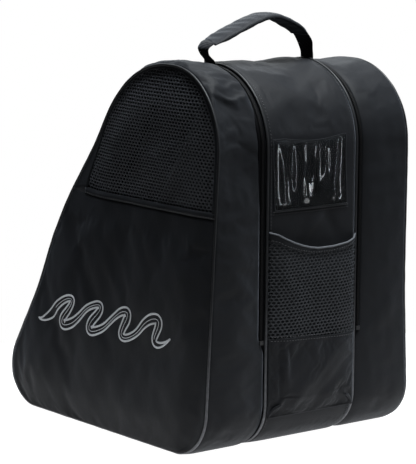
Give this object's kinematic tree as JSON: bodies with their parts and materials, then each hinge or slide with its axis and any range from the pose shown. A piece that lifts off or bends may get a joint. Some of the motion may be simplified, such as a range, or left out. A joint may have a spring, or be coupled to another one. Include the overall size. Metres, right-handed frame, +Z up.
{
  "type": "skate bag",
  "caption": "Black soft skate bag with a slanted back, zipped side compartments, mesh vents, a front pocket, a clear card window and a top carrying handle.",
  "frame": {"origin": "middle of the flat base, on the ground, on the bag's mirror plane", "axes": "+Z up; -Y to the upright front with the pocket; +Y to the slanted rear; X across the bag"},
  "size_m": [0.2698, 0.3491, 0.427],
  "materials": {
    "shell_fabric": "matte woven polyester, black",
    "band_fabric": "matte woven polyester, black",
    "lining": "brushed padded lining, charcoal",
    "mesh": "open knitted mesh, black",
    "piping": "satin corded piping, black",
    "edge_binding": "woven edge tape, light grey",
    "clear_pvc": "soft clear vinyl, glossy",
    "webbing": "ribbed webbing, black",
    "grip_fabric": "padded fabric sleeve, black",
    "zip_tape": "woven zip tape, black",
    "zip_coil": "nylon coil, black",
    "slider_metal": "black enamelled zinc",
    "board": "stiffening board"
  },
  "bodies": {
    "bag": {"base_panel": "band_fabric", "centre_front_panel": "band_fabric", "centre_rear_panel": "band_fabric", "centre_top_panel": "band_fabric", "divider_panel": "lining", "id_window": "clear_pvc", "id_window_seam": "band_fabric", "left_base_board": "board", "left_handle_anchor": "webbing", "left_inner_piping": "piping", "left_tray_gusset": "shell_fabric", "left_tray_lining": "lining", "left_tray_panel": "shell_fabric", "left_tray_piping": "piping", "left_zip_coil_inner": "zip_coil", "left_zip_stops": "zip_tape", "left_zip_tape_inner": "zip_tape", "pocket_edge_binding": "edge_binding", "pocket_front": "band_fabric", "pocket_header": "band_fabric", "pocket_mesh": "mesh", "pocket_tucks": "band_fabric", "right_base_board": "board", "right_handle_anchor": "webbing", "right_inner_piping": "piping", "right_tray_gusset": "shell_fabric", "right_tray_lining": "lining", "right_tray_panel": "shell_fabric", "right_tray_piping": "piping", "right_zip_coil_inner": "zip_coil", "right_zip_stops": "zip_tape", "right_zip_tape_inner": "zip_tape"},
    "left_shell": {"left_gusset": "shell_fabric", "left_outer_piping": "piping", "left_side_panel": "shell_fabric", "left_mesh_window": "mesh", "left_mesh_hem": "shell_fabric", "left_side_lining": "lining", "left_zip_tape_outer": "zip_tape", "left_zip_coil_outer": "zip_coil"},
    "right_shell": {"right_gusset": "shell_fabric", "right_outer_piping": "piping", "right_side_panel": "shell_fabric", "right_mesh_window": "mesh", "right_mesh_hem": "shell_fabric", "right_side_lining": "lining", "right_zip_tape_outer": "zip_tape", "right_zip_coil_outer": "zip_coil"},
    "handle": {"handle_grip": "grip_fabric", "left_handle_leg": "webbing", "right_handle_leg": "webbing"},
    "left_slider": {"left_slider": "slider_metal"},
    "left_pull": {"left_pull_tab": "slider_metal"},
    "right_slider": {"right_slider": "slider_metal"},
    "right_pull": {"right_pull_tab": "slider_metal"}
  },
  "joints": [
    {"name": "left_shell_hinge", "type": "hinge", "parent": "bag", "child": "left_shell", "pos_m": [-0.1292, 0, 0.119], "axis": [0, -1, 0], "range_deg": [0, 90]},
    {"name": "right_shell_hinge", "type": "hinge", "parent": "bag", "child": "right_shell", "pos_m": [0.1292, 0, 0.119], "axis": [0, 1, 0], "range_deg": [0, 90]},
    {"name": "handle_hinge", "type": "hinge", "parent": "bag", "child": "handle", "pos_m": [0, -0.105, 0.3845], "axis": [1, 0, 0], "range_deg": [-60, 60], "deforming": ["left_handle_leg", "right_handle_leg"]},
    {"name": "left_slider_slide", "type": "slide", "parent": "bag", "child": "left_slider", "axis": [0, -0.4959, 0.8684], "range_m": [0, 0.22]},
    {"name": "left_pull_hinge", "type": "hinge", "parent": "left_slider", "child": "left_pull", "pos_m": [-0.06345, 0.12733, 0.10764], "axis": [1, 0, 0], "range_deg": [0, 170]},
    {"name": "right_slider_slide", "type": "slide", "parent": "bag", "child": "right_slider", "axis": [0, -0.4959, 0.8684], "range_m": [0, 0.22]},
    {"name": "right_pull_hinge", "type": "hinge", "parent": "right_slider", "child": "right_pull", "pos_m": [0.06345, 0.12733, 0.10764], "axis": [1, 0, 0], "range_deg": [0, 170]}
  ]
}
